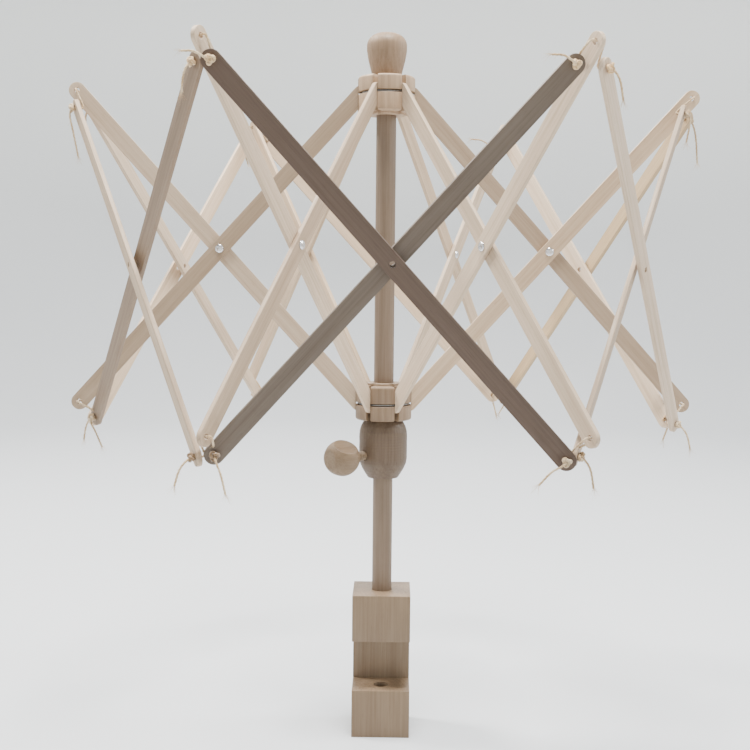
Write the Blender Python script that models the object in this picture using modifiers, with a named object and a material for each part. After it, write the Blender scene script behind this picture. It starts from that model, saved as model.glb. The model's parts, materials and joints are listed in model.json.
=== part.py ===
"""Umbrella yarn swift in wood: six scissor ribs between two slotted hubs on a dowel, outer slats tied on with
string, a sliding collar with a thumb screw, and a C-shaped clamp block. Metres, +Z up, origin under the block."""

import math

import bmesh
import bpy
from mathutils import Matrix, Vector

MM = 0.001
UP = Vector((0, 0, 1))
OBJECT_NAME = "yarn_swift"

# The umbrella
RIBS = 6
FIRST_RIB_TURN = math.radians(2.8)
SLAT_REACH = 385 * MM  # from end hole to end hole
SLAT_WIDTH = 15 * MM
SLAT_THICKNESS = 3.8 * MM
SLAT_HOLE_R = 2.35 * MM
ARM_SLOPE = math.radians(47.7)  # above the horizontal, in the pose that is modelled
ARM_OFFSET = 2.05 * MM  # of each arm of a rib to its own side of the rib's plane

# Heights above the table
UPPER_WIRE_Z = 597 * MM
BLOCK_HEIGHT = 134.6 * MM
SHAFT_FOOT_Z = 110 * MM
SHAFT_TOP_Z = 636 * MM
FINIAL_TOP_Z = 652.5 * MM
SCREW_Z = 264 * MM

# Hubs, measured from the wire towards the middle of the umbrella and away from it
WIRE_RING_R = 23.3 * MM
WIRE_R = 0.9 * MM
HUB_R = 26.3 * MM
HUB_INWARD = 17.2 * MM
HUB_OUTWARD = 15.2 * MM
HUB_RIM_R = 16.9 * MM
HUB_RIM_HEIGHT = 2.2 * MM
HUB_EDGE = 2.4 * MM
GROOVE_R = 22.05 * MM
GROOVE_HEIGHT = 2.6 * MM
SLOT_BOTTOM_R = 15.2 * MM
SLOT_WIDTH = 4.6 * MM

# Turned pieces on the shaft
SHAFT_R = 9.2 * MM
BORE_R = 9.6 * MM
FIT_GAP = 0.3 * MM
FINIAL_NECK_R = 13.6 * MM
FINIAL_R = 18.4 * MM
COLLAR_HEIGHT = 54.5 * MM
COLLAR_R = 22.5 * MM
COLLAR_TOP_R = 18.2 * MM
COLLAR_FOOT_R = 14.1 * MM

# Thumb screw, along its own axis from the middle of the shaft
SCREW_TURN = math.radians(218)
SCREW_R = 4.5 * MM
SCREW_HOLE_R = 4.9 * MM
KNOB_R = 16.7 * MM
KNOB_CENTRE = 47.5 * MM
KNOB_END = 61.5 * MM
SCOOP_R = 42 * MM
SCOOP_DEPTH_AT = 10.8 * MM  # from the knob's centre to the bottom of the scoop
SCOOP_TILT = math.radians(62)

# Clamp block
BLOCK_SIDE = 54 * MM
LOWER_JAW = 44.4 * MM
THROAT_TOP = 91.4 * MM
THROAT_DEPTH = 37.9 * MM
BLOCK_EDGE = 1.2 * MM
SOCKET_DEPTH = BLOCK_HEIGHT - SHAFT_FOOT_Z + FIT_GAP
CLAMP_HOLE_R = 6.8 * MM
CLAMP_HOLE_FROM_FRONT = 19 * MM

# Outer slats: a falls from an upper tip to the next rib's lower tip, b falls the other way, inside a. The top
# hangs off its tip by (along the panel towards its middle, outwards, up), and a slat is as steep as the arms are.
A_HANG = (9 * MM, 3.5 * MM, -17 * MM)
A_FOOT_OUT = -2 * MM  # of the foot from the line between the two tips
A_TWIST = math.radians(-10)
B_HANG = (14.5 * MM, -4.5 * MM, -15 * MM)
B_FOOT_OUT = -14 * MM
B_TWIST = math.radians(-12)

# String ties and rivets
STRING_R = 0.6 * MM
KNOT_OUT = 19 * MM
KNOT_IN = 31 * MM
KNOT_DOWN = 16.5 * MM
STRING_STEPS = 3
RIVET_HEAD_R = 4.0 * MM
RIVET_HEAD_HEIGHT = 1.5 * MM
RIVET_R = 1.8 * MM

ARM_RISE = SLAT_REACH * math.sin(ARM_SLOPE)
LOWER_WIRE_Z = UPPER_WIRE_Z - ARM_RISE
TIP_R = WIRE_RING_R + SLAT_REACH * math.cos(ARM_SLOPE)
COLLAR_TOP_Z = LOWER_WIRE_Z - HUB_OUTWARD - FIT_GAP


def clear_scene():
    for obj in list(bpy.data.objects):
        bpy.data.objects.remove(obj)


def new_collection(name):
    made = bpy.data.collections.new(name)
    bpy.context.scene.collection.children.link(made)
    return made


def new_material(name, colour, roughness, metallic=0.0):
    made = bpy.data.materials.new(name)
    made.use_nodes = True
    shader = made.node_tree.nodes["Principled BSDF"]
    shader.inputs["Base Color"].default_value = (*colour, 1)
    shader.inputs["Roughness"].default_value = roughness
    shader.inputs["Metallic"].default_value = metallic
    return made


def add_object(name, data, material, matrix=None, home=None):
    made = bpy.data.objects.new(name, data)
    (home or PARTS).objects.link(made)
    if material and not data.materials:
        data.materials.append(material)
    made.matrix_world = matrix or Matrix()
    return made


def add_cutter(name, data, matrix=None):
    made = add_object(name, data, None, matrix, CUTTERS)
    made.hide_render = True
    made.display_type = "WIRE"
    return made


def cut(obj, cutter):
    boolean = obj.modifiers.new("cut_" + cutter.name, "BOOLEAN")
    boolean.operation = "DIFFERENCE"
    boolean.solver = "EXACT"
    boolean.object = cutter


def frame_matrix(origin, x_axis, z_axis):
    """The matrix whose local X and Z point along these two perpendicular directions."""
    y_axis = z_axis.cross(x_axis)
    turn = Matrix((x_axis, y_axis, z_axis)).transposed().to_4x4()
    return Matrix.Translation(origin) @ turn


def arc(centre_x, centre_y, radius, start, end, steps):
    """Points on an arc, angles in degrees, both ends included."""
    angles = (math.radians(start + (end - start) * i / steps) for i in range(steps + 1))
    return [(centre_x + radius * math.cos(a), centre_y + radius * math.sin(a)) for a in angles]


def mesh_of_curve(obj):
    """The curve object's solid as a mesh with its caps welded on. The curve object is removed."""
    graph = bpy.context.evaluated_depsgraph_get()
    mesh = bpy.data.meshes.new_from_object(obj.evaluated_get(graph))
    work = bmesh.new()
    work.from_mesh(mesh)
    bmesh.ops.remove_doubles(work, verts=work.verts, dist=1e-6)
    bmesh.ops.recalc_face_normals(work, faces=work.faces)
    work.to_mesh(mesh)
    work.free()
    bpy.data.objects.remove(obj)
    return mesh


def flat_mesh(name, outlines, thickness):
    """A flat board in the XY plane. The first outline is its edge, and the others are holes."""
    curve = bpy.data.curves.new(name, "CURVE")
    curve.dimensions = "2D"
    curve.fill_mode = "BOTH"
    curve.extrude = thickness / 2
    for outline in outlines:
        spline = curve.splines.new("POLY")
        spline.points.add(len(outline) - 1)
        for point, (x, y) in zip(spline.points, outline):
            point.co = (x, y, 0, 1)
        spline.use_cyclic_u = True
    mesh = mesh_of_curve(add_object(name, curve, None, home=CUTTERS))
    mesh.name = name
    return mesh


def turned_object(name, profile, material, matrix=None, steps=40, closed=False):
    """A body turned about local Z. The (radius, height) profile runs down its outer side."""
    mesh = bpy.data.meshes.new(name)
    edges = [(i, i + 1) for i in range(len(profile) - 1)]
    if closed:
        edges.append((len(profile) - 1, 0))
    mesh.from_pydata([(r, 0, z) for r, z in profile], edges, [])
    made = add_object(name, mesh, material, matrix)
    screw = made.modifiers.new("turn", "SCREW")
    screw.steps = screw.render_steps = steps
    screw.use_merge_vertices = True
    screw.merge_threshold = 1e-6
    screw.use_smooth_shade = True
    return made


def cylinder_mesh(name, radius, bottom, top, segments=32):
    mesh = bpy.data.meshes.new(name)
    work = bmesh.new()
    placed = Matrix.Translation((0, 0, (bottom + top) / 2))
    bmesh.ops.create_cone(
        work, cap_ends=True, segments=segments, radius1=radius, radius2=radius, depth=top - bottom, matrix=placed
    )
    work.to_mesh(mesh)
    work.free()
    return mesh


def hub_profile():
    """The hub's ring section, with the umbrella's middle at the top. Height 0 is the wire."""
    top = HUB_INWARD
    low = -HUB_OUTWARD
    half_groove = GROOVE_HEIGHT / 2
    shoulder = arc(HUB_R - HUB_EDGE, top - HUB_EDGE, HUB_EDGE, 90, 0, 3)
    foot = arc(HUB_R - HUB_EDGE, low + HUB_EDGE, HUB_EDGE, 0, -90, 3)
    return [
        (BORE_R, top + HUB_RIM_HEIGHT),
        (HUB_RIM_R, top + HUB_RIM_HEIGHT),
        (HUB_RIM_R, top),
        *shoulder,
        (HUB_R, half_groove),
        (GROOVE_R, half_groove),
        (GROOVE_R, -half_groove),
        (HUB_R, -half_groove),
        *foot,
        (BORE_R, low),
    ]


def slot_cutter_mesh(side):
    """Six boxes, one for each arm's slot. side is +1 or -1: the side of the rib's plane that the arm is on."""
    mesh = bpy.data.meshes.new("slots")
    work = bmesh.new()
    length = 20 * MM
    height = 60 * MM
    for k in range(RIBS):
        turn = Matrix.Rotation(2 * math.pi * k / RIBS, 4, "Z")
        place = Matrix.Translation((SLOT_BOTTOM_R + length / 2, side * ARM_OFFSET, 0))
        size = Matrix.Diagonal((length, SLOT_WIDTH, height, 1))
        bmesh.ops.create_cube(work, size=1, matrix=turn @ place @ size)
    work.to_mesh(mesh)
    work.free()
    return mesh


def build_hub(name, wire_z, flip, side):
    """The hub's profile has the umbrella's middle on top, so the upper hub is turned over."""
    turn = Matrix.Rotation(FIRST_RIB_TURN, 4, "Z")
    over = Matrix.Rotation(math.pi, 4, "X") if flip else Matrix()
    hub = turned_object(
        name, hub_profile(), WOOD, Matrix.Translation((0, 0, wire_z)) @ turn @ over, steps=36, closed=True
    )
    place = Matrix.Translation((0, 0, wire_z)) @ turn
    cut(hub, add_cutter(name + "_slots", slot_cutter_mesh(side), place))
    return hub


def build_hub_wire(name, wire_z):
    """The ring of wire that the six arms of one hub turn on."""
    section = arc(WIRE_RING_R, 0, WIRE_R, 90, -210, 5)
    turned_object(name, section, STEEL, Matrix.Translation((0, 0, wire_z)), steps=30, closed=True)


def build_shaft():
    shaft = add_object("shaft", cylinder_mesh("shaft", SHAFT_R, SHAFT_FOOT_Z, SHAFT_TOP_Z, 32), WOOD)
    bevel = shaft.modifiers.new("ends", "BEVEL")
    bevel.width = 0.8 * MM
    bevel.segments = 1
    bevel.limit_method = "ANGLE"


def build_finial():
    """The knob at the top. It holds the upper hub and turns on the shaft's end with it."""
    foot = UPPER_WIRE_Z + HUB_OUTWARD + FIT_GAP
    bore_top = SHAFT_TOP_Z + FIT_GAP
    widest = foot + 25 * MM
    crown = arc(FINIAL_R - 7.5 * MM, FINIAL_TOP_Z - 8 * MM, 7.5 * MM, 84, 0, 6)
    profile = [
        (0, FINIAL_TOP_Z),
        (6 * MM, FINIAL_TOP_Z - 0.1 * MM),
        *crown,
        (FINIAL_R, widest),
        (FINIAL_R - 0.9 * MM, widest - 7 * MM),
        (FINIAL_R - 2.5 * MM, widest - 14 * MM),
        (FINIAL_NECK_R + 0.6 * MM, foot + 4 * MM),
        (FINIAL_NECK_R, foot + 0.8 * MM),
        (FINIAL_NECK_R - 0.8 * MM, foot),
        (BORE_R, foot),
        (BORE_R, bore_top),
        (0, bore_top),
    ]
    turned_object("finial", profile, WOOD, steps=28)


def screw_axis():
    return Vector((math.cos(SCREW_TURN), math.sin(SCREW_TURN), 0))


def build_collar():
    """The barrel that the lower hub rests on. The thumb screw locks it to the shaft."""
    top = COLLAR_TOP_Z
    foot = top - COLLAR_HEIGHT
    profile = [
        (BORE_R, top),
        (COLLAR_TOP_R - 1 * MM, top),
        (COLLAR_TOP_R, top - 1 * MM),
        (COLLAR_R - 1.5 * MM, top - 6.5 * MM),
        (COLLAR_R - 0.3 * MM, top - 10.5 * MM),
        (COLLAR_R, top - 15 * MM),
        (COLLAR_R, top - 36 * MM),
        (COLLAR_R - 0.8 * MM, top - 41 * MM),
        (COLLAR_R - 3 * MM, top - 46 * MM),
        (COLLAR_FOOT_R + 1.2 * MM, foot + 1.6 * MM),
        (COLLAR_FOOT_R, foot),
        (BORE_R, foot),
    ]
    collar = turned_object("collar", profile, WOOD, steps=32, closed=True)
    hole = cylinder_mesh("screw_hole", SCREW_HOLE_R, 3 * MM, 40 * MM, 24)
    across = frame_matrix(Vector((0, 0, SCREW_Z)), UP, screw_axis())
    cut(collar, add_cutter("screw_hole", hole, across))


def build_thumb_screw():
    """A wooden screw with a ball knob that is scooped out on two sides for finger and thumb."""
    end_angle = math.degrees(math.acos((KNOB_END - KNOB_CENTRE) / KNOB_R))
    neck_angle = 180 - math.degrees(math.asin(SCREW_R / KNOB_R))
    steps = 11
    ball = []
    for i in range(steps + 1):
        angle = math.radians(end_angle + (neck_angle - end_angle) * i / steps)
        ball.append((KNOB_R * math.sin(angle), KNOB_CENTRE + KNOB_R * math.cos(angle)))
    tip = SHAFT_R + FIT_GAP
    profile = [(0, KNOB_END), *ball, (SCREW_R, tip + 1 * MM), (SCREW_R - 1 * MM, tip), (0, tip)]
    place = frame_matrix(Vector((0, 0, SCREW_Z)), UP, screw_axis())
    screw = turned_object("thumb_screw", profile, WOOD, place, steps=28)
    tangent = UP.cross(screw_axis())
    scoop_way = (math.cos(SCOOP_TILT) * tangent + math.sin(SCOOP_TILT) * UP).normalized()
    knob = Vector((0, 0, SCREW_Z)) + KNOB_CENTRE * screw_axis()
    for number, way in enumerate((scoop_way, -scoop_way), 1):
        mesh = bpy.data.meshes.new("scoop")
        work = bmesh.new()
        bmesh.ops.create_uvsphere(work, u_segments=40, v_segments=24, radius=SCOOP_R)
        work.to_mesh(mesh)
        work.free()
        centre = Matrix.Translation(knob + way * (SCOOP_DEPTH_AT + SCOOP_R))
        cut(screw, add_cutter(f"scoop_{number}", mesh, centre))


def build_clamp_block():
    """A C-shaped block. A table's edge goes into its throat, and the lower jaw is bored for a clamp screw."""
    half = BLOCK_SIDE / 2
    throat_back = -half + THROAT_DEPTH
    outline = [
        (-half, 0),
        (half, 0),
        (half, BLOCK_HEIGHT),
        (-half, BLOCK_HEIGHT),
        (-half, THROAT_TOP),
        (throat_back, THROAT_TOP),
        (throat_back, LOWER_JAW),
        (-half, LOWER_JAW),
    ]
    mesh = flat_mesh("clamp_block", [outline], BLOCK_SIDE)
    upright = frame_matrix(Vector((0, 0, 0)), Vector((0, 1, 0)), Vector((1, 0, 0)))
    block = add_object("clamp_block", mesh, WOOD, upright)
    bevel = block.modifiers.new("edges", "BEVEL")
    bevel.width = BLOCK_EDGE
    bevel.segments = 2
    bevel.limit_method = "ANGLE"
    socket = cylinder_mesh("socket", SHAFT_R + FIT_GAP, BLOCK_HEIGHT - SOCKET_DEPTH, BLOCK_HEIGHT + 5 * MM)
    cut(block, add_cutter("socket", socket))
    hole = cylinder_mesh("clamp_hole", CLAMP_HOLE_R, -5 * MM, LOWER_JAW + 5 * MM, 28)
    place = Matrix.Translation((0, -half + CLAMP_HOLE_FROM_FRONT, 0))
    cut(block, add_cutter("clamp_hole", hole, place))


def slat_mesh():
    """The slat that all 24 copies share: local X runs from its upper hole, and local Z is its thickness."""
    end_r = SLAT_WIDTH / 2
    edge = arc(0, 0, end_r, 90, 270, 7) + arc(SLAT_REACH, 0, end_r, -90, 90, 7)
    holes = [arc(x, 0, SLAT_HOLE_R, 0, 315, 7) for x in (0, SLAT_REACH / 2, SLAT_REACH)]
    return flat_mesh("slat", [edge, *holes], SLAT_THICKNESS)


class Rib:
    """One rib's directions and hole centres. Its upper arm falls from the upper hub to the lower tip."""

    def __init__(self, number):
        turn = FIRST_RIB_TURN + 2 * math.pi * number / RIBS
        self.out = Vector((math.cos(turn), math.sin(turn), 0))
        self.side = UP.cross(self.out)
        lower = -ARM_OFFSET * self.side
        upper = ARM_OFFSET * self.side
        self.upper_root = WIRE_RING_R * self.out + UPPER_WIRE_Z * UP + upper
        self.lower_root = WIRE_RING_R * self.out + LOWER_WIRE_Z * UP + lower
        self.upper_tip = TIP_R * self.out + UPPER_WIRE_Z * UP + lower
        self.lower_tip = TIP_R * self.out + LOWER_WIRE_Z * UP + upper
        self.crossing = (self.upper_root + self.lower_tip + self.lower_root + self.upper_tip) / 4


class Panel:
    """The outward face between one rib and the next, with the hole centres of its two outer slats."""

    def __init__(self, first, second):
        self.out = (first.out + second.out).normalized()
        self.along = UP.cross(self.out)
        self.a_top, self.a_foot = self.hung_slat(first.upper_tip, A_HANG, A_FOOT_OUT, 1)
        self.b_top, self.b_foot = self.hung_slat(second.upper_tip, B_HANG, B_FOOT_OUT, -1)

    def hung_slat(self, tip, hang, foot_out, way):
        """The end holes of a slat that falls along the panel (way 1) or against it (way -1)."""
        top = tip + way * hang[0] * self.along + hang[1] * self.out + hang[2] * UP
        run = way * SLAT_REACH * math.cos(ARM_SLOPE) * self.along
        fall = run + (foot_out - hang[1]) * self.out - ARM_RISE * UP
        return top, top + SLAT_REACH * fall.normalized()


def place_slat(name, mesh, start, end, face, twist=0.0):
    way = (end - start).normalized()
    flat = (face - face.dot(way) * way).normalized()
    turn = Matrix.Rotation(twist, 3, way)
    add_object(name, mesh, WOOD, frame_matrix(start, way, turn @ flat))


def rivet_profile():
    grip = ARM_OFFSET + SLAT_THICKNESS / 2 + 0.2 * MM
    outer = grip + RIVET_HEAD_HEIGHT
    quarter = [
        (0, outer),
        (0.55 * RIVET_HEAD_R, outer - 0.22 * RIVET_HEAD_HEIGHT),
        (0.88 * RIVET_HEAD_R, outer - 0.6 * RIVET_HEAD_HEIGHT),
        (RIVET_HEAD_R, grip),
        (RIVET_R, grip),
    ]
    return quarter + [(r, -z) for r, z in reversed(quarter)]


def string_loop(name, tip, corners):
    """A closed loop of string, measured from the rib's tip: a quadratic B-spline with these corners."""
    points = []
    count = len(corners)
    for i in range(count):
        before = (corners[i - 1] + corners[i]) / 2
        after = (corners[i] + corners[(i + 1) % count]) / 2
        for step in range(STRING_STEPS):
            u = step / STRING_STEPS
            points.append((1 - u) ** 2 * before + 2 * u * (1 - u) * corners[i] + u**2 * after)
    curve = bpy.data.curves.new(name, "CURVE")
    curve.dimensions = "3D"
    curve.bevel_depth = STRING_R
    curve.bevel_resolution = 1
    spline = curve.splines.new("POLY")
    spline.points.add(len(points) - 1)
    for target, point in zip(spline.points, points):
        target.co = (*(point - tip), 1)
    spline.use_cyclic_u = True
    return curve


def tie_corners(tip, rib, near_hole, near_out, far_hole, far_out, way):
    """Through the rib's tip hole, then both slat holes, with the knot outside (way 1) or inside (way -1)."""
    through = 4.5 * MM
    before = way * 11.5 * MM
    after = way * 8 * MM
    knot = tip + (KNOT_OUT if way > 0 else -KNOT_IN) * rib.out - KNOT_DOWN * UP
    return [
        tip - through * rib.side,
        tip + through * rib.side,
        near_hole - before * near_out,
        near_hole + after * near_out,
        knot,
        far_hole + after * far_out,
        far_hole - before * far_out,
    ]


def build_umbrella():
    mesh = slat_mesh()
    ribs = [Rib(k) for k in range(RIBS)]
    panels = [Panel(ribs[k], ribs[(k + 1) % RIBS]) for k in range(RIBS)]
    first, panel, before = ribs[0], panels[0], panels[-1]
    corners = tie_corners(first.upper_tip, first, panel.a_top, panel.out, before.b_top, before.out, 1)
    top_loop = string_loop("top_loop", first.upper_tip, corners)
    corners = tie_corners(first.lower_tip, first, panel.b_foot, panel.out, before.a_foot, before.out, -1)
    bottom_loop = string_loop("bottom_loop", first.lower_tip, corners)
    for k in range(RIBS):
        number = k + 1
        rib, panel = ribs[k], panels[k]
        place_slat(f"upper_arm_{number}", mesh, rib.upper_root, rib.lower_tip, rib.side)
        place_slat(f"lower_arm_{number}", mesh, rib.lower_root, rib.upper_tip, rib.side)
        place_slat(f"outer_slat_a_{number}", mesh, panel.a_top, panel.a_foot, panel.out, -A_TWIST)
        place_slat(f"outer_slat_b_{number}", mesh, panel.b_top, panel.b_foot, panel.out, B_TWIST)
        place = frame_matrix(rib.crossing, UP, rib.side)
        turned_object(f"arm_rivet_{number}", rivet_profile(), STEEL, place, steps=12)
        turn = Matrix.Rotation(2 * math.pi * k / RIBS, 4, "Z")
        add_object(f"top_tie_{number}", top_loop, STRING, turn @ Matrix.Translation(first.upper_tip))
        add_object(f"bottom_tie_{number}", bottom_loop, STRING, turn @ Matrix.Translation(first.lower_tip))


clear_scene()
PARTS = new_collection(OBJECT_NAME)
CUTTERS = new_collection("cutters")
CUTTERS.hide_render = True
WOOD = new_material("pale_wood", (0.62, 0.50, 0.36), 0.55)
STEEL = new_material("steel", (0.62, 0.62, 0.63), 0.3, 1.0)
STRING = new_material("jute_string", (0.52, 0.38, 0.20), 0.9)

build_clamp_block()
build_shaft()
build_hub("upper_hub", UPPER_WIRE_Z, True, 1)
build_hub("lower_hub", LOWER_WIRE_Z, False, -1)
build_hub_wire("upper_hub_wire", UPPER_WIRE_Z)
build_hub_wire("lower_hub_wire", LOWER_WIRE_Z)
build_finial()
build_collar()
build_thumb_screw()
build_umbrella()
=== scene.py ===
"""The looks of an umbrella yarn swift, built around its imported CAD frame. Metres, +Z up."""

import json
import math
import random

import bmesh
import bpy
import numpy as np
from mathutils import Matrix, Vector


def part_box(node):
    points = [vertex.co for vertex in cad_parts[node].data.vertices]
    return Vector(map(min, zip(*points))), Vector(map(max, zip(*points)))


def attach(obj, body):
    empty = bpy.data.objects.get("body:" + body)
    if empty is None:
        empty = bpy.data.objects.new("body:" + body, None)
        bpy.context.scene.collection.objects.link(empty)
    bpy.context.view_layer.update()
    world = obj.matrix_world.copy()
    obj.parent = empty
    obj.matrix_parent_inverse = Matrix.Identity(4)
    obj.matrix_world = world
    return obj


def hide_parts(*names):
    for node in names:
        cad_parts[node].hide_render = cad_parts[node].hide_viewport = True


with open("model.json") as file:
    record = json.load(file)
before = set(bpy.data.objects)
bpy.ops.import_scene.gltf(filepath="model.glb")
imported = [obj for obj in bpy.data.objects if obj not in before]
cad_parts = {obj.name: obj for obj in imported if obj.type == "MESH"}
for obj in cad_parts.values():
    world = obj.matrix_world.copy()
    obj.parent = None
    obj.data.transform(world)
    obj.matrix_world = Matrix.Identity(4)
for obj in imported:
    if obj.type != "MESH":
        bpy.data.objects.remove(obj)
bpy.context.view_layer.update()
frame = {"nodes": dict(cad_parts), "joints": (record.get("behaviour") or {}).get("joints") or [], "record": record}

MM = 0.001
UP = Vector((0, 0, 1))
RIBS = 6
JOINTS = {joint["name"]: joint for joint in frame["joints"]}
SLAT_HOLE_R = 2.35 * MM
SLAT_EASE = 0.4 * MM
CORD_R = 0.8 * MM
STRANDS_PER_FRAY = 16
SLACKEN_ROUNDS = 26

# Sizes that the CAD shares
BORE_R = 9.6 * MM
HUB_RIM_R = 16.9 * MM
HUB_RIM_HEIGHT = 2.2 * MM
HUB_EDGE = 2.4 * MM
GROOVE_R = 22.05 * MM
HALF_GROOVE = 1.3 * MM
SLOT_SIZE = (20 * MM, 4.6 * MM, 60 * MM)
SLOT_CENTRE_R = 25.2 * MM
ARM_OFFSET = 2.05 * MM
HALF_SLAT = 1.9 * MM  # half its thickness
WIRE_RING_R = 23.3 * MM
WIRE_R = 0.9 * MM
KNOB_R = 16.7 * MM
KNOB_CENTRE = 47.5 * MM
KNOB_END = 61.5 * MM
SCREW_R = 4.5 * MM
SCOOP_R = 42 * MM
SCOOP_CENTRE = 52.8 * MM
SCOOP_TILT = math.radians(62)
THROAT_DEPTH = 37.9 * MM
THROAT_TOP = 91.4 * MM
LOWER_JAW = 44.4 * MM

# The paper sweep behind and under the swift
# Painted light on the sweep: the floor paper is darker and the wall paler, brightening with height
STUDIO_FLOOR_PAINTED_SHADE = (0.60, 0.615, 0.63)
STUDIO_WALL = (0.90, 0.915, 0.90)
STUDIO_R = 3.8
STUDIO_HEIGHT = 3.6
STUDIO_BEND = 1.4

# Tint of each piece on its slot's wood: partly the wood's own tone, partly painted shade and painted light for how
# the lamps fall on each piece
SLAT_TONE_AND_SHADE_TINTS = {
    # The fifth outer slats and the listed arms are darkened partly by painted shade, as their faces turn away from
    # the light
    "outer_slat_a_5": (0.155, 0.125, 0.115),
    "outer_slat_b_5": (0.21, 0.205, 0.21),
    "outer_slat_a_1": (0.80, 0.76, 0.62),
    "outer_slat_b_4": (0.40, 0.37, 0.35),
    "outer_slat_a_4": (0.72, 0.70, 0.67),
    "outer_slat_b_6": (0.62, 0.60, 0.58),
    "upper_arm_5": (0.70, 0.67, 0.64),
    "upper_arm_4": (0.60, 0.58, 0.55),
    "upper_arm_1": (0.66, 0.64, 0.62),
}
# Painted shade on top of each piece's own tone: the finial and shaft are darkened to how dim they sit in the light
FINIAL_TONE_AND_SHADE = (0.66, 0.61, 0.54)
SHAFT_TONE_AND_SHADE = (0.52, 0.49, 0.455)
# Painted light and shade: the upper hub is tinted lighter as if lit, the lower hub darker as if shaded
HUB_LIGHT_AND_SHADE_TINTS = {"upper_hub": (1.05, 1.02, 0.96), "lower_hub": (0.58, 0.55, 0.50)}
# Painted shade on top of each piece's own tone: the collar, knob and block are darkened to how dim they sit in the
# light
COLLAR_TONE_AND_SHADE = (0.29, 0.265, 0.235)
KNOB_TONE_AND_SHADE = (0.46, 0.43, 0.36)
BLOCK_TONE_AND_SHADE = (0.60, 0.56, 0.50)
# Painted light and shade: two top knots are tinted lighter as if lit, one bottom knot darker as if shaded
KNOT_LIGHT_AND_SHADE_TINTS = {"top_tie_5": (1.25, 1.22, 1.15), "top_tie_6": (1.35, 1.3, 1.2), "bottom_tie_5": (0.45, 0.4, 0.36)}

# The two loose ends of each string, as (towards +X, up) in millimetres
TAILS = {
    "top_tie_1": ((5, -35), (-4, -22)),
    "top_tie_2": ((-27, 14), (6, -20)),
    "top_tie_3": ((8, -20), (-9, -18)),
    "top_tie_4": ((9, -38), (3, -29)),
    "top_tie_5": ((-19, 8), (-4, -20)),
    "top_tie_6": ((6, -20), (-19, 9)),
    "bottom_tie_1": ((-7, -16), (8, -19)),
    "bottom_tie_2": ((7, -20), (-12, -15)),
    "bottom_tie_3": ((10, -12), (-8, -20)),
    "bottom_tie_4": ((12, -22), (-5, -18)),
    "bottom_tie_5": ((8, -24), (-9, -18)),
    "bottom_tie_6": ((6, -20), (-20, -13)),
}

random.seed(11)

# Camera, at the height of the umbrella's middle and a little below its upper tips
CAMERA_PLACE = Vector((0.0085, -1.0799, 0.4245))
CAMERA_YAW = math.radians(-0.888)
CAMERA_PITCH = math.radians(4.559)
CAMERA_ROLL = math.radians(0.536)
CAMERA_LENS = 55.52


def add_camera():
    data = bpy.data.cameras.new("camera")
    data.lens = CAMERA_LENS
    data.sensor_width = 36
    camera = bpy.data.objects.new("camera", data)
    bpy.context.scene.collection.objects.link(camera)
    level = math.cos(CAMERA_PITCH)
    ahead = Vector((math.sin(CAMERA_YAW) * level, math.cos(CAMERA_YAW) * level, -math.sin(CAMERA_PITCH)))
    flat = Vector((math.cos(CAMERA_YAW), -math.sin(CAMERA_YAW), 0))
    upright = flat.cross(ahead)
    right = math.cos(CAMERA_ROLL) * flat + math.sin(CAMERA_ROLL) * upright
    up = -math.sin(CAMERA_ROLL) * flat + math.cos(CAMERA_ROLL) * upright
    camera.matrix_world = Matrix.Translation(CAMERA_PLACE) @ Matrix((right, up, -ahead)).transposed().to_4x4()
    bpy.context.scene.camera = camera


def add_light(name, place, target, size, power, colour=(1, 1, 1)):
    data = bpy.data.lights.new(name, "AREA")
    data.shape = "DISK"
    data.size = size
    data.energy = power
    data.color = colour
    light = bpy.data.objects.new(name, data)
    bpy.context.scene.collection.objects.link(light)
    light.location = place
    light.rotation_euler = (Vector(target) - Vector(place)).to_track_quat("-Z", "Y").to_euler()


# Materials


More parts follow.
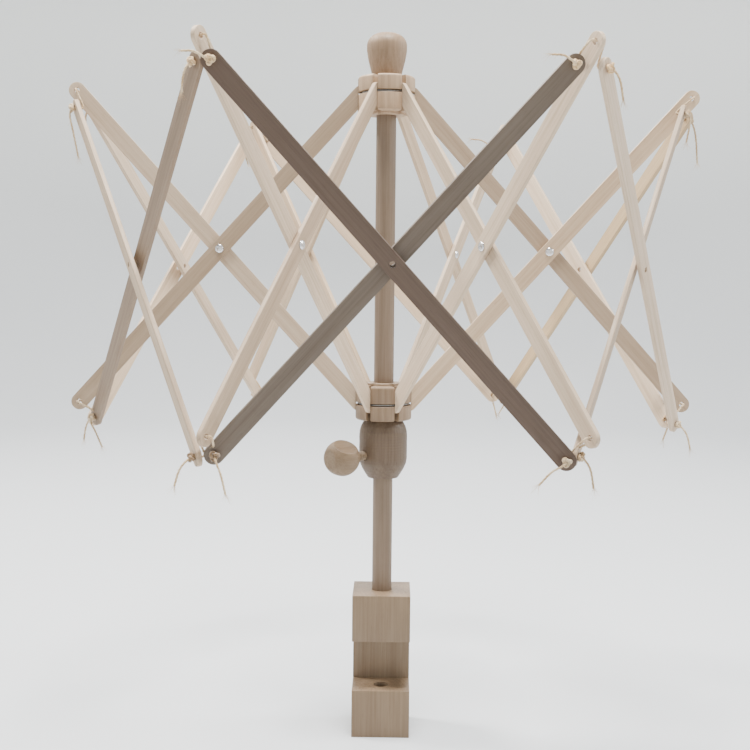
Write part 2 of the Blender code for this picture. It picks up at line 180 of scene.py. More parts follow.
class Nodes:
    """A material's node tree, with short calls for the nodes that these materials use."""

    def __init__(self, name):
        self.material = bpy.data.materials.new(name)
        self.material.use_nodes = True
        self.tree = self.material.node_tree
        self.shader = self.tree.nodes["Principled BSDF"]

    def join(self, value, socket):
        if isinstance(value, bpy.types.NodeSocket):
            self.tree.links.new(value, socket)
        elif value is not None:
            socket.default_value = value

    def attribute(self, name, output="Vector"):
        made = self.tree.nodes.new("ShaderNodeAttribute")
        made.attribute_name = name
        return made.outputs[output]

    def scaled(self, vector, scale):
        made = self.tree.nodes.new("ShaderNodeVectorMath")
        made.operation = "MULTIPLY"
        self.join(vector, made.inputs[0])
        self.join(scale, made.inputs[1])
        return made.outputs[0]

    def noise(self, vector, scale=1.0, detail=3.0, roughness=0.55, distortion=0.0):
        made = self.tree.nodes.new("ShaderNodeTexNoise")
        self.join(vector, made.inputs["Vector"])
        made.inputs["Scale"].default_value = scale
        made.inputs["Detail"].default_value = detail
        made.inputs["Roughness"].default_value = roughness
        made.inputs["Distortion"].default_value = distortion
        return made.outputs["Fac"]

    def rings(self, vector, scale, distortion):
        made = self.tree.nodes.new("ShaderNodeTexWave")
        made.wave_type = "RINGS"
        made.rings_direction = "X"
        self.join(vector, made.inputs["Vector"])
        made.inputs["Scale"].default_value = scale
        made.inputs["Distortion"].default_value = distortion
        made.inputs["Detail"].default_value = 2
        made.inputs["Detail Scale"].default_value = 0.6
        return made.outputs["Fac"]

    def math(self, operation, first, second=0.5, clamp=False):
        made = self.tree.nodes.new("ShaderNodeMath")
        made.operation = operation
        made.use_clamp = clamp
        self.join(first, made.inputs[0])
        self.join(second, made.inputs[1])
        return made.outputs[0]

    def spread(self, value, low, high, to_low=0.0, to_high=1.0):
        made = self.tree.nodes.new("ShaderNodeMapRange")
        made.interpolation_type = "SMOOTHSTEP"
        self.join(value, made.inputs["Value"])
        for socket, number in zip(list(made.inputs)[1:5], (low, high, to_low, to_high)):
            socket.default_value = number
        return made.outputs[0]

    def mix(self, factor, first, second, blend="MIX"):
        made = self.tree.nodes.new("ShaderNodeMix")
        made.data_type = "RGBA"
        made.blend_type = blend
        self.join(factor, made.inputs[0])
        for socket, value in ((made.inputs[6], first), (made.inputs[7], second)):
            self.join((*value, 1) if isinstance(value, tuple) else value, socket)
        return made.outputs[2]

    def bump(self, height, strength, distance):
        made = self.tree.nodes.new("ShaderNodeBump")
        made.inputs["Strength"].default_value = strength
        made.inputs["Distance"].default_value = distance
        self.join(height, made.inputs["Height"])
        self.join(made.outputs["Normal"], self.shader.inputs["Normal"])

    def finish(self, colour, roughness):
        self.join(colour, self.shader.inputs["Base Color"])
        self.join(roughness, self.shader.inputs["Roughness"])
        return self.material


def wood_material(name, pale, deep, ring_scale, ring_depth, turning=0.0):
    """Wood whose grain runs along X of the grain attribute: growth rings, fibre streaks, pores and soft stains."""
    nodes = Nodes(name)
    grain = nodes.attribute("grain")
    fibre = nodes.noise(nodes.scaled(grain, (14, 620, 620)), detail=5, roughness=0.65)
    band = nodes.noise(nodes.scaled(grain, (3.2, 95, 95)), detail=3, distortion=0.6)
    ring = nodes.rings(nodes.scaled(grain, (0.12, 1, 1)), ring_scale, 2.4)
    stain = nodes.noise(nodes.scaled(grain, (9, 22, 22)), detail=2)
    pore = nodes.noise(nodes.scaled(grain, (95, 2100, 2100)), detail=2, roughness=0.4)
    depth = nodes.math("MULTIPLY", nodes.spread(ring, 0.25, 0.95), ring_depth)
    depth = nodes.math("ADD", depth, nodes.spread(fibre, 0.35, 0.75, 0, 0.42))
    depth = nodes.math("ADD", depth, nodes.spread(band, 0.35, 0.72, 0, 0.38), clamp=True)
    colour = nodes.mix(depth, pale, deep)
    colour = nodes.mix(nodes.spread(stain, 0.35, 0.7, 0, 0.30), colour, (0.83, 0.80, 0.77), "MULTIPLY")
    pores = nodes.spread(pore, 0.62, 0.74, 0, 0.34)
    colour = nodes.mix(pores, colour, (0.50, 0.40, 0.32), "MULTIPLY")
    # The tint attribute carries each piece's tone, with painted shade and painted light for some pieces
    colour = nodes.mix(1.0, colour, nodes.attribute("tint", "Color"), "MULTIPLY")
    height = nodes.math("ADD", nodes.math("MULTIPLY", fibre, 0.7), nodes.math("MULTIPLY", pores, -0.9))
    if turning:
        marks = nodes.noise(nodes.scaled(grain, (1300, 6, 6)), detail=3)
        height = nodes.math("ADD", height, nodes.math("MULTIPLY", marks, turning))
        worn = nodes.spread(marks, 0.45, 0.8, 0, 0.22 * turning)
        colour = nodes.mix(worn, colour, (0.6, 0.52, 0.45), "MULTIPLY")
    nodes.bump(height, 0.45, 0.25 * MM)
    return nodes.finish(colour, nodes.spread(fibre, 0.2, 0.8, 0.46, 0.68))


def jute_material():
    nodes = Nodes("jute")
    grain = nodes.attribute("grain")
    hair = nodes.noise(nodes.scaled(grain, (900, 900, 900)), detail=4, roughness=0.7)
    patch = nodes.noise(nodes.scaled(grain, (120, 120, 120)), detail=2)
    colour = nodes.mix(nodes.spread(hair, 0.3, 0.75), (0.60, 0.43, 0.24), (0.27, 0.165, 0.075))
    colour = nodes.mix(nodes.spread(patch, 0.4, 0.68, 0, 0.55), colour, (0.70, 0.58, 0.40))
    # The tint attribute carries each cord's tone, with painted light and shade on some knots
    colour = nodes.mix(1.0, colour, nodes.attribute("tint", "Color"), "MULTIPLY")
    nodes.bump(hair, 0.9, 0.2 * MM)
    nodes.shader.inputs["Sheen Weight"].default_value = 0.35
    return nodes.finish(colour, nodes.spread(hair, 0.2, 0.8, 0.78, 0.95))


def steel_material(name, colour, dull, low, high):
    """Steel with fine wear and duller spots."""
    nodes = Nodes(name)
    grain = nodes.attribute("grain")
    scuff = nodes.noise(nodes.scaled(grain, (420, 1900, 1900)), detail=4, roughness=0.65)
    spot = nodes.noise(nodes.scaled(grain, (500, 500, 500)), detail=2)
    nodes.shader.inputs["Metallic"].default_value = 1.0
    nodes.bump(scuff, 0.2, 0.05 * MM)
    mixed = nodes.mix(nodes.spread(spot, 0.45, 0.75, 0, 0.6), colour, dull)
    return nodes.finish(mixed, nodes.spread(scuff, 0.3, 0.75, low, high))


def studio_material():
    nodes = Nodes("studio_paper")
    place = nodes.tree.nodes.new("ShaderNodeTexCoord").outputs["Object"]
    cloud = nodes.noise(nodes.scaled(place, (1.4, 1.4, 1.4)), detail=2)
    paper = nodes.noise(nodes.scaled(place, (260, 260, 260)), detail=3)
    split = nodes.tree.nodes.new("ShaderNodeSeparateXYZ")
    nodes.join(place, split.inputs[0])
    # Painted light: the paper brightens from the floor up the wall
    painted_light_rise = nodes.spread(split.outputs[2], 0.1, 1.6)
    colour = nodes.mix(painted_light_rise, STUDIO_FLOOR_PAINTED_SHADE, STUDIO_WALL)
    colour = nodes.mix(nodes.spread(cloud, 0.3, 0.7, 0, 0.5), colour, (0.965, 0.97, 0.975), "MULTIPLY")
    return nodes.finish(colour, nodes.spread(paper, 0.3, 0.7, 0.82, 0.92))


# Meshes


def add_object(name, mesh, matrix=None):
    made = bpy.data.objects.new(name, mesh)
    bpy.context.scene.collection.objects.link(made)
    made.matrix_world = matrix or Matrix()
    return made


def frame_matrix(origin, x_axis, z_axis):
    turn = Matrix((x_axis, z_axis.cross(x_axis), z_axis)).transposed().to_4x4()
    return Matrix.Translation(origin) @ turn


def arc(centre_x, centre_y, radius, start, end, steps):
    angles = (math.radians(start + (end - start) * i / steps) for i in range(steps + 1))
    return [(centre_x + radius * math.cos(a), centre_y + radius * math.sin(a)) for a in angles]


def applied(obj):
    """Replaces the object's mesh with its modified one, or a curve with its mesh. Returns the object."""
    bpy.context.view_layer.update()
    graph = bpy.context.evaluated_depsgraph_get()
    mesh = bpy.data.meshes.new_from_object(obj.evaluated_get(graph))
    if obj.type == "MESH":
        obj.modifiers.clear()
        obj.data = mesh
        return obj
    name, place = obj.name, obj.matrix_world.copy()
    bpy.data.objects.remove(obj)
    return add_object(name, mesh, place)


def tidy(mesh, distance=1e-6):
    work = bmesh.new()
    work.from_mesh(mesh)
    bmesh.ops.remove_doubles(work, verts=work.verts, dist=distance)
    bmesh.ops.recalc_face_normals(work, faces=work.faces)
    work.to_mesh(mesh)
    work.free()


def board(name, outlines, thickness, ease, steps=2):
    """A flat board in the XY plane with eased edges. The first outline is its edge, and the others are holes."""
    curve = bpy.data.curves.new(name, "CURVE")
    curve.dimensions = "2D"
    curve.fill_mode = "BOTH"
    curve.extrude = thickness / 2 - ease
    curve.bevel_depth = ease
    curve.bevel_resolution = steps
    curve.offset = -ease
    for outline in outlines:
        spline = curve.splines.new("POLY")
        spline.points.add(len(outline) - 1)
        for point, (x, y) in zip(spline.points, outline):
            point.co = (x, y, 0, 1)
        spline.use_cyclic_u = True
    made = applied(add_object(name, curve))
    tidy(made.data)
    for face in made.data.polygons:
        face.use_smooth = abs(face.normal.z) < 0.999
    mesh = made.data
    bpy.data.objects.remove(made)
    return mesh


def turned(profile, steps, closed=False):
    """A mesh turned about Z from a (radius, height) profile. Points at radius 0 close on the axis."""
    work = bmesh.new()
    rings = []
    for radius, height in profile:
        if radius < 1e-7:
            rings.append([work.verts.new((0, 0, height))] * steps)
            continue
        turns = (2 * math.pi * i / steps for i in range(steps))
        rings.append([work.verts.new((radius * math.cos(a), radius * math.sin(a), height)) for a in turns])
    pairs = list(zip(rings, rings[1:]))
    if closed:
        pairs.append((rings[-1], rings[0]))
    for above, below in pairs:
        for i in range(steps):
            j = (i + 1) % steps
            corners = list(dict.fromkeys((above[i], above[j], below[j], below[i])))
            if len(corners) > 2:
                work.faces.new(corners)
    bmesh.ops.recalc_face_normals(work, faces=work.faces)
    mesh = bpy.data.meshes.new("turned")
    work.to_mesh(mesh)
    work.free()
    return mesh


def rod(radius, bottom, top, steps=48):
    return turned([(0, top), (radius, top), (radius, bottom), (0, bottom)], steps)


def shaped(name, mesh, cutters, ease, matrix=None, segments=2):
    """The mesh with the cutters taken out and its sharp edges eased."""
    made = add_object(name, mesh, matrix)
    for cutter in cutters:
        boolean = made.modifiers.new("cut", "BOOLEAN")
        boolean.operation = "DIFFERENCE"
        boolean.solver = "EXACT"
        boolean.object = cutter
    if ease:
        bevel = made.modifiers.new("ease", "BEVEL")
        bevel.width = ease
        bevel.segments = segments
        bevel.limit_method = "ANGLE"
        bevel.angle_limit = math.radians(40)
    applied(made)
    for cutter in cutters:
        bpy.data.objects.remove(cutter)
    made.data.shade_smooth()
    made.data.set_sharp_from_angle(angle=math.radians(38))
    return made


def dress(obj, node, body, material, grain_axis="X", tint=(1, 1, 1), pith=(0, 0), shift=0.0):
    """Gives the piece its grain and tint, and says which body, CAD node and material slot are its own."""
    mesh = obj.data
    count = len(mesh.vertices)
    points = np.empty(count * 3, np.float32)
    mesh.vertices.foreach_get("co", points)
    points = points.reshape(-1, 3)
    order = {"X": (0, 1, 2), "Z": (2, 0, 1)}[grain_axis]
    grain = points[:, order] + np.array((shift, *pith), np.float32)
    mesh.attributes.new("grain", "FLOAT_VECTOR", "POINT").data.foreach_set("vector", grain.ravel())
    colours = np.tile(np.array((*tint, 1), np.float32), count)
    mesh.attributes.new("tint", "FLOAT_COLOR", "POINT").data.foreach_set("color", colours)
    mesh.materials.clear()
    mesh.materials.append(material)
    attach(obj, body)
    for name in [node] if isinstance(node, str) else node or []:
        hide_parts(name)
    return obj


def body_of(node):
    bodies = frame["record"]["behaviour"]["bodies"]
    return next(body for body, members in bodies.items() if node in members)


# Slats


def slat_frame(node):
    """(centre, way down the slat, thin axis, length, width, thickness) of a slat's CAD node."""
    points = np.array([tuple(v.co) for v in frame["nodes"][node].data.vertices])
    points = np.unique(points.round(7), axis=0)
    centre = points.mean(axis=0)
    turn = np.linalg.svd(points - centre, full_matrices=False)[2]
    spans = (points - centre) @ turn.T
    low, high = spans.min(axis=0), spans.max(axis=0)
    centre = centre + turn.T @ ((low + high) / 2)
    way, thin = Vector(turn[0]), Vector(turn[2])
    if way.z > 0:
        way = -way
    middle = Vector(centre)
    if thin.dot(Vector((middle.x, middle.y, 0))) < 0:
        thin = -thin
    return middle, way.normalized(), thin.normalized(), *(high - low)


def slat_holes(node):
    """The slat's (upper hole, lower hole, outward normal)."""
    centre, way, thin, length, width, _ = slat_frame(node)
    half = way * (length - width) / 2
    return centre - half, centre + half, thin


def build_slats(material):
    _, _, _, length, width, thickness = slat_frame("outer_slat_a_1")
    reach = length - width
    end_r = width / 2
    edge = arc(-reach / 2, 0, end_r, 90, 270, 28) + arc(reach / 2, 0, end_r, -90, 90, 28)
    holes = [arc(x, 0, SLAT_HOLE_R, 0, 345, 23) for x in (-reach / 2, 0, reach / 2)]
    shared = board("slat", [edge, *holes], thickness, SLAT_EASE)
    for kind in ("upper_arm", "lower_arm", "outer_slat_a", "outer_slat_b"):
        for number in range(1, RIBS + 1):
            node = f"{kind}_{number}"
            centre, way, thin, *_ = slat_frame(node)
            shade = random.uniform(0.86, 1.06)
            warm = random.uniform(-0.03, 0.03)
            # Listed tints add painted shade to some pieces; the others get a random tone
            tint = SLAT_TONE_AND_SHADE_TINTS.get(node, (shade * (1 + warm), shade, shade * (1 - 1.6 * warm)))
            piece = add_object("fine_" + node, shared.copy(), frame_matrix(centre, way, thin))
            pith = (random.uniform(-12, 12) * MM, random.choice((-1, 1)) * random.uniform(14, 60) * MM)
            shift = random.uniform(0, 40)
            dress(piece, node, body_of(node), material, "X", tint, pith, shift)


# Turned pieces, hubs and block


def rib_turns():
    """Each rib's outward direction, from the axis its upper arm turns on."""
    names = ["umbrella_fold"] + [f"upper_arm_{n}_fold" for n in range(2, RIBS + 1)]
    return [Vector(JOINTS[name]["axis"]).cross(UP).normalized() for name in names]


def box_cutter(matrix, size):
    mesh = bpy.data.meshes.new("box")
    work = bmesh.new()
    bmesh.ops.create_cube(work, size=1, matrix=Matrix.Diagonal((*size, 1)))
    work.to_mesh(mesh)
    work.free()
    return add_object("cutter", mesh, matrix)


def build_hub(node, wire_node, inward, side, materials):
    """A hub with its groove and six arm slots. inward is +1 where the umbrella's middle is above it."""
    low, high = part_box(node)
    ring_low, ring_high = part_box(wire_node)
    wire_z = (ring_low.z + ring_high.z) / 2
    radius = (high.x - low.x) / 2
    top = (high.z - wire_z if inward > 0 else wire_z - low.z) - HUB_RIM_HEIGHT
    foot = (high.z - low.z) - top - HUB_RIM_HEIGHT
    profile = [
        (BORE_R, top + HUB_RIM_HEIGHT),
        (HUB_RIM_R - 0.6 * MM, top + HUB_RIM_HEIGHT),
        (HUB_RIM_R, top + HUB_RIM_HEIGHT - 0.6 * MM),
        (HUB_RIM_R, top),
        *arc(radius - HUB_EDGE, top - HUB_EDGE, HUB_EDGE, 90, 0, 10),
        (radius, HALF_GROOVE + 0.4 * MM),
        (radius - 0.4 * MM, HALF_GROOVE),
        (GROOVE_R, HALF_GROOVE),
        (GROOVE_R, -HALF_GROOVE),
        (radius - 0.4 * MM, -HALF_GROOVE),
        (radius, -HALF_GROOVE - 0.4 * MM),
        *arc(radius - HUB_EDGE, HUB_EDGE - foot, HUB_EDGE, 0, -90, 10),
        (BORE_R, -foot),
    ]
    mesh = turned([(r, inward * z) for r, z in profile], 144, closed=True)
    cutters = []
    for out in rib_turns():
        across = UP.cross(out)
        centre = SLOT_CENTRE_R * out + side * ARM_OFFSET * across + wire_z * UP
        cutters.append(box_cutter(frame_matrix(centre, out, UP), SLOT_SIZE))
    hub = shaped("fine_" + node, mesh, cutters, 0.35 * MM, Matrix.Translation((0, 0, wire_z)))
    pith = (9 * MM, 4 * MM)
    # The hub's tint paints light on the upper hub and shade on the lower one
    dress(hub, node, body_of(node), materials["turned"], "Z", HUB_LIGHT_AND_SHADE_TINTS[node], pith, 3.1)
    wire = turned(arc(WIRE_RING_R, 0, WIRE_R, 90, -258, 29), 160, closed=True)
    ring = add_object("fine_" + wire_node, wire, Matrix.Translation((0, 0, wire_z)))
    wire.shade_smooth()
    dress(ring, wire_node, body_of(wire_node), materials["wire"], "Z")


def build_finial(material):
    low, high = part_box("finial")
    widest = (high.x - low.x) / 2
    foot, top = low.z, high.z
    waist = foot + 25 * MM
    neck = 13.6 * MM
    crown = [(math.sin(a) ** 0.75, math.cos(a)) for a in np.linspace(0, math.pi / 2, 22)]
    profile = [
        *[(widest * x, top - 12 * MM * (1 - z)) for x, z in crown],
        (widest, waist - 1 * MM),
        (widest - 0.35 * MM, waist - 3.5 * MM),
        (widest - 0.9 * MM, waist - 7 * MM),
        (widest - 1.6 * MM, waist - 10.5 * MM),
        (widest - 2.5 * MM, waist - 14 * MM),
        (widest - 3.5 * MM, waist - 17.8 * MM),
        (neck + 0.5 * MM, foot + 4 * MM),
        (neck, foot + 1 * MM),
        (neck - 0.9 * MM, foot),
        (BORE_R, foot),
        (BORE_R, top - 16 * MM),
        (0, top - 16 * MM),
    ]
    piece = shaped("fine_finial", turned(profile, 128), [], 0)
    dress(piece, "finial", "rotor", material, "Z", FINIAL_TONE_AND_SHADE, (2 * MM, 10 * MM), 1.7)


def build_shaft(material):
    low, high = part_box("shaft")
    radius = (high.x - low.x) / 2
    ease = 0.8 * MM
    profile = [(0, high.z), (radius - ease, high.z), (radius, high.z - ease), (radius, low.z), (0, low.z)]
    piece = shaped("fine_shaft", turned(profile, 96), [], 0)
    dress(piece, "shaft", "base", material, "Z", SHAFT_TONE_AND_SHADE, (3 * MM, 7 * MM), 6.4)


def screw_place():
    joint = JOINTS["thumb_screw_turn"]
    axis = Vector(joint["axis"]).normalized()
    return axis, Vector((0, 0, joint["pos_m"][2]))


def build_collar(material):
    low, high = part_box("collar")
    widest = (high.x - low.x) / 2
    top, foot = high.z, low.z
    shape = [
        (18.2 * MM - 1 * MM, top),
        (18.2 * MM, top - 1 * MM),
        (19.7 * MM, top - 3.8 * MM),
        (widest - 1.5 * MM, top - 6.5 * MM),
        (widest - 0.3 * MM, top - 10.5 * MM),
        (widest, top - 15 * MM),
        (widest, top - 36 * MM),
        (widest - 0.8 * MM, top - 41 * MM),
        (widest - 3 * MM, top - 46 * MM),
        (15.3 * MM, foot + 1.6 * MM),
        (14.1 * MM, foot),
    ]
    heights = [z for _, z in reversed(shape)]
    radii = [r for r, _ in reversed(shape)]
    count = 110
    side = []
    for i in range(count + 1):
        z = top - (top - foot) * i / count
        ripple = 0.05 * MM * math.sin(z / (0.42 * MM)) + 0.04 * MM * math.sin(z / (1.7 * MM))
        side.append((float(np.interp(z, heights, radii)) + (ripple if 2 < i < count - 2 else 0), z))
    mesh = turned([(BORE_R, top), *side, (BORE_R, foot)], 112, closed=True)
    axis, centre = screw_place()
    hole = add_object("cutter", rod(4.9 * MM, 3 * MM, 40 * MM), frame_matrix(centre, UP, axis))
    piece = shaped("fine_collar", mesh, [hole], 0)
    dress(piece, "collar", "collar", material, "Z", COLLAR_TONE_AND_SHADE, (5 * MM, 3 * MM), 9.9)


def build_thumb_screw(material):
    """The ball knob is scooped on two sides, and a short thread shows between it and the collar."""
    first = math.degrees(math.acos((KNOB_END - KNOB_CENTRE) / KNOB_R))
    last = 180 - math.degrees(math.asin(SCREW_R / KNOB_R))
    ball = [(y, KNOB_CENTRE + x) for x, y in arc(0, 0, KNOB_R, first, last, 34)]
    tip = 9.5 * MM
    thread = []
    turns = 8
    for i in range(turns):
        z = 30 * MM - i * 2.2 * MM
        thread += [(SCREW_R, z), (SCREW_R - 0.7 * MM, z - 1.1 * MM)]
    profile = [(0, KNOB_END), (ball[0][0] - 0.8 * MM, KNOB_END), *ball, *thread, (SCREW_R - 1 * MM, tip), (0, tip)]
    axis, centre = screw_place()
    across = UP.cross(axis)
    way = (math.cos(SCOOP_TILT) * across + math.sin(SCOOP_TILT) * UP).normalized()
    knob = centre + KNOB_CENTRE * axis
    cutters = []
    for side in (1, -1):
        mesh = bpy.data.meshes.new("scoop")
        work = bmesh.new()
        bmesh.ops.create_uvsphere(work, u_segments=160, v_segments=96, radius=SCOOP_R)
        work.to_mesh(mesh)
        work.free()
        cutters.append(add_object("cutter", mesh, Matrix.Translation(knob + side * way * SCOOP_CENTRE)))
    piece = shaped("fine_thumb_screw", turned(profile, 96), cutters, 0.5 * MM, frame_matrix(centre, UP, axis), 3)
    dress(piece, "thumb_screw", "thumb_screw", material, "Z", KNOB_TONE_AND_SHADE, (6 * MM, 2 * MM), 4.2)


def build_block(material):
    low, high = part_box("clamp_block")
    half = (high.x - low.x) / 2
    tall = high.z
    back = low.y + THROAT_DEPTH
    outline = [
        (low.y, 0),
        (high.y, 0),
        (high.y, tall),
        (low.y, tall),
        (low.y, THROAT_TOP),
        (back, THROAT_TOP),
        (back, LOWER_JAW),
        (low.y, LOWER_JAW),
    ]
    mesh = board("block", [outline], 2 * half, 1e-5, 0)
    upright = frame_matrix(Vector((0, 0, 0)), Vector((0, 1, 0)), Vector((1, 0, 0)))
    mesh.transform(upright)
    socket = add_object("cutter", rod(9.5 * MM, 109.7 * MM, tall + 5 * MM))
    place = Matrix.Translation((0, low.y + 19 * MM, 0))
    hole = add_object("cutter", rod(6.8 * MM, -5 * MM, LOWER_JAW + 5 * MM), place)
    piece = shaped("fine_clamp_block", mesh, [socket, hole], 1.2 * MM, None, 4)
    dress(piece, "clamp_block", "base", material, "Z", BLOCK_TONE_AND_SHADE, (48 * MM, 30 * MM), 2.3)


def build_rivets(material):
    """Domed tubular rivets, one through the crossing of each pair of arms."""
    grip = ARM_OFFSET + HALF_SLAT + 0.2 * MM
    head_r, rise, stem_r = 4.0 * MM, 1.5 * MM, 1.8 * MM
    dome = [(head_r * math.sin(a), grip + rise * math.cos(a)) for a in np.linspace(0, math.pi / 2, 12)]
    half = [*dome, (head_r - 0.25 * MM, grip), (stem_r, grip)]
    profile = half + [(r, -z) for r, z in reversed(half)]
    mesh = turned(profile, 40)
    mesh.shade_smooth()
    for number in range(1, RIBS + 1):
        joint = JOINTS[f"lower_arm_{number}_scissor"]
        node = f"arm_rivet_{number}"
        place = frame_matrix(Vector(joint["pos_m"]), UP, Vector(joint["axis"]).normalized())
        piece = add_object("fine_" + node, mesh.copy(), place)
        dress(piece, node, body_of(node), material, "Z", shift=number * 0.7)


# String ties


def smooth_path(points, step):
    """A Catmull-Rom curve through the points, resampled to even steps."""
    points = [2 * points[0] - points[1], *points, 2 * points[-1] - points[-2]]
    dense = []
    for a, b, c, d in zip(points, points[1:], points[2:], points[3:]):
        for i in range(24):
            u = i / 24
            dense.append(
                0.5 * (2 * b + (c - a) * u + (2 * a - 5 * b + 4 * c - d) * u**2 + (3 * b - a - 3 * c + d) * u**3)
            )
    dense.append(points[-2])
    lengths = np.concatenate([[0], np.cumsum([(q - p).length for p, q in zip(dense, dense[1:])])])
    count = max(2, round(lengths[-1] / step))
    wanted = np.linspace(0, lengths[-1], count + 1)
    columns = np.array([tuple(p) for p in dense])
    even = np.stack([np.interp(wanted, lengths, columns[:, i]) for i in range(3)], axis=1)
    for _ in range(SLACKEN_ROUNDS):
        even[1:-1] = (even[:-2] + 2 * even[1:-1] + even[2:]) / 4
    length = float(np.linalg.norm(np.diff(even, axis=0), axis=1).sum())
    return [Vector(p) for p in even], length


def strand(work, path, radius, sides=12, plies=3, pitch=3.4 * MM, lobe=0.16, taper=0.0):
    """Adds a closed tube to the bmesh: plies twisted about the path, ends drawn in by taper."""
    rings = []
    ahead = (path[1] - path[0]).normalized()
    across = ahead.orthogonal().normalized()
    run = 0.0
    for i, point in enumerate(path):
        new_ahead = (path[min(i + 1, len(path) - 1)] - path[max(i - 1, 0)]).normalized()
        across = (across - across.dot(new_ahead) * new_ahead).normalized()
        other = new_ahead.cross(across)
        if i:
            run += (point - path[i - 1]).length
        share = i / (len(path) - 1)
        size = radius * (1 - taper * share)
        ring = []
        for side in range(sides):
            angle = 2 * math.pi * side / sides
            lobed = 1 + lobe * math.cos(plies * (angle - 2 * math.pi * run / (plies * pitch)))
            spoke = math.cos(angle) * across + math.sin(angle) * other
            ring.append(work.verts.new(point + size * lobed * spoke))
        rings.append(ring)
    for first, second in zip(rings, rings[1:]):
        for i in range(sides):
            j = (i + 1) % sides
            work.faces.new((first[i], first[j], second[j], second[i]))
    work.faces.new(list(reversed(rings[0])))
    work.faces.new(rings[-1])


def strand_mesh(paths, radius, **shape):
    work = bmesh.new()
    for path in paths:
        strand(work, path, radius, **shape)
    mesh = bpy.data.meshes.new("strand")
    work.to_mesh(mesh)
    work.free()
    mesh.shade_smooth()
    return mesh


def knot_paths(centre, normal, size):
    """A trefoil lump of string about the centre."""
    across = normal.orthogonal().normalized()
    other = normal.cross(across)
    turn = random.uniform(0, 2 * math.pi)
    points = []
    for i in range(73):
        t = 2 * math.pi * i / 72
        x = (math.sin(t + turn) + 2 * math.sin(2 * (t + turn))) / 3
        y = (math.cos(t + turn) - 2 * math.cos(2 * (t + turn))) / 3
        z = -math.sin(3 * (t + turn)) * 0.42
        points.append(centre + size * (x * across + y * other + z * normal))
    return points


def fibre_paths(path, count, spread, from_end):
    """Loose fibres: a brush at the end of the path, or hairs along it."""
    fibres = []
    for _ in range(count):
        if from_end:
            start = path[-1 - random.randrange(5)]
            ahead = (path[-1] - path[-6]).normalized()
            length = random.uniform(3, 8) * MM
        else:
            i = random.randrange(3, len(path) - 3)
            start = path[i]
            ahead = (path[i + 2] - path[i]).normalized() * random.choice((-1, 1))
            length = random.uniform(1.5, 4.5) * MM
        side = Vector([random.gauss(0, 1) for _ in range(3)])
        side = (side - side.dot(ahead) * ahead).normalized()
        lean = random.uniform(0.1, spread)
        fibre = []
        for step in range(6):
            u = step / 5
            bent = (ahead + side * lean * (0.6 + u)).normalized()
            sink = Vector((0, 0, -1)) * length * 0.25 * u * u
            root = start + side * CORD_R * (0.25 if from_end else 0.8)
            fibre.append(root + bent * length * u + sink)
        fibres.append(fibre)
    return fibres


def tail_path(knot, normal, tail):
    """Points from the knot to the tail's loose end. tail is (towards +X, up) in millimetres, and it droops."""
    reach = Vector((tail[0] * MM, 0, tail[1] * MM))
    droop = Vector((0, 0, -0.12 * reach.length))
    return [
        knot + 3.4 * MM * normal + 0.18 * reach,
        knot + 4.2 * MM * normal + 0.55 * reach - 0.4 * droop,
        knot + 3.6 * MM * normal + reach + droop,
    ]


def build_tie(number, level, material):
    """One loose string: tail, knot, slat hole, rib tip, the other slat's hole, knot, tail."""
    tie = f"{level}_tie_{number}"
    joint = JOINTS[tie + "_swing"]
    tip, across = Vector(joint["pos_m"]), Vector(joint["axis"]).normalized()
    before = (number - 2) % RIBS + 1
    if level == "top":
        near, _, near_out = slat_holes(f"outer_slat_a_{number}")
        far, _, far_out = slat_holes(f"outer_slat_b_{before}")
    else:
        _, near, near_out = slat_holes(f"outer_slat_b_{number}")
        _, far, far_out = slat_holes(f"outer_slat_a_{before}")
    near_tail, far_tail = TAILS[tie]
    near_knot = near + 4.6 * MM * near_out
    far_knot = far + 4.6 * MM * far_out
    points = [
        *reversed(tail_path(near_knot, near_out, near_tail)),
        near_knot,
        near,
        near - 6 * MM * near_out,
        tip + 6.5 * MM * across,
        tip,
        tip - 6.5 * MM * across,
        far - 6 * MM * far_out,
        far,
        far_knot,
        *tail_path(far_knot, far_out, far_tail),
    ]
    path, length = smooth_path(points, 0.45 * MM)
    cord = add_object("twine_" + tie, strand_mesh([path], CORD_R))
    shade = random.uniform(0.8, 1.12)
    tint = (shade, shade, shade)
    shift = random.uniform(0, 9)
    dress(cord, tie, body_of(tie), material, "X", tint, shift=shift)
    lumps = [knot_paths(near_knot, near_out, 3.3 * MM), knot_paths(far_knot, far_out, 3.0 * MM)]
    knots = add_object("knots_" + tie, strand_mesh(lumps, 1.15 * MM, pitch=3.0 * MM))
    # Knot tints paint light on some top knots and shade on a bottom one
    dress(knots, None, body_of(tie), material, "X", KNOT_LIGHT_AND_SHADE_TINTS.get(tie, tint), shift=shift)
    backwards = path[::-1]
    fibres = fibre_paths(path, STRANDS_PER_FRAY, 0.75, True) + fibre_paths(backwards, STRANDS_PER_FRAY, 0.75, True)
    fibres += fibre_paths(path, 46, 1.1, False)
    fuzz = add_object("fibres_" + tie, strand_mesh(fibres, 0.09 * MM, sides=4, plies=1, lobe=0.0, taper=0.6))
    dress(fuzz, None, body_of(tie), material, "X", (1.1, 1.05, 0.95), shift=shift)


# Studio


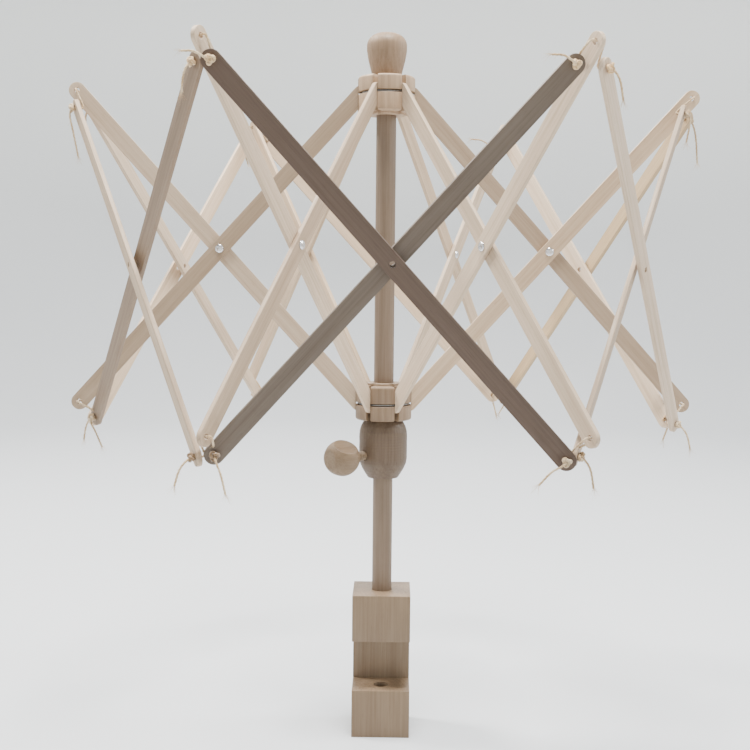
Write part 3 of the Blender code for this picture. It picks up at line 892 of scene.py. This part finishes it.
def build_studio():
    """A round sweep of pale paper: a floor that bends up into a wall on every side."""
    bend = arc(STUDIO_R - STUDIO_BEND, STUDIO_BEND, STUDIO_BEND, -90, 0, 24)
    mesh = turned([(0, 0), (0.8, 0), *bend, (STUDIO_R, STUDIO_HEIGHT)], 96)
    mesh.flip_normals()
    mesh.shade_smooth()
    mesh.materials.append(studio_material())
    add_object("studio_sweep", mesh)
    world = bpy.data.worlds.new("studio_air")
    world.use_nodes = True
    background = world.node_tree.nodes["Background"]
    background.inputs["Color"].default_value = (0.93, 0.96, 1.0, 1)
    background.inputs["Strength"].default_value = 0.30
    bpy.context.scene.world = world
    add_light("key", (-1.5, 0.5, 2.4), (0, 0, 0.35), 0.7, 120, (1.0, 0.98, 0.95))
    add_light("top", (0.1, -0.35, 2.5), (0, 0, 0.4), 0.8, 135, (1.0, 0.99, 0.97))
    add_light("side", (2.2, 0.2, 1.5), (0, 0, 0.35), 0.7, 42, (0.96, 0.98, 1.0))
    add_light("back", (0.0, 2.6, 2.0), (0, 0, 0.4), 1.6, 50)


add_camera()
build_studio()
MATERIALS = {
    "slat": wood_material("birch", (0.62, 0.475, 0.335), (0.40, 0.28, 0.175), 150, 0.13),
    "turned": wood_material("turned_birch", (0.42, 0.30, 0.20), (0.24, 0.155, 0.092), 105, 0.12, 0.8),
    "shaft": wood_material("dowel_birch", (0.36, 0.265, 0.185), (0.22, 0.15, 0.098), 120, 0.12),
    "block": wood_material("block_birch", (0.345, 0.25, 0.165), (0.22, 0.15, 0.09), 75, 0.14),
    "jute": jute_material(),
    "rivet": steel_material("rivet_steel", (0.74, 0.74, 0.75), (0.5, 0.5, 0.5), 0.14, 0.34),
    "wire": steel_material("wire_steel", (0.34, 0.33, 0.32), (0.2, 0.18, 0.16), 0.35, 0.55),
}
build_slats(MATERIALS["slat"])
build_block(MATERIALS["block"])
build_shaft(MATERIALS["shaft"])
build_hub("upper_hub", "upper_hub_wire", -1, 1, MATERIALS)
build_hub("lower_hub", "lower_hub_wire", 1, -1, MATERIALS)
build_finial(MATERIALS["turned"])
build_collar(MATERIALS["turned"])
build_thumb_screw(MATERIALS["turned"])
build_rivets(MATERIALS["rivet"])
for number in range(1, RIBS + 1):
    build_tie(number, "top", MATERIALS["jute"])
    build_tie(number, "bottom", MATERIALS["jute"])
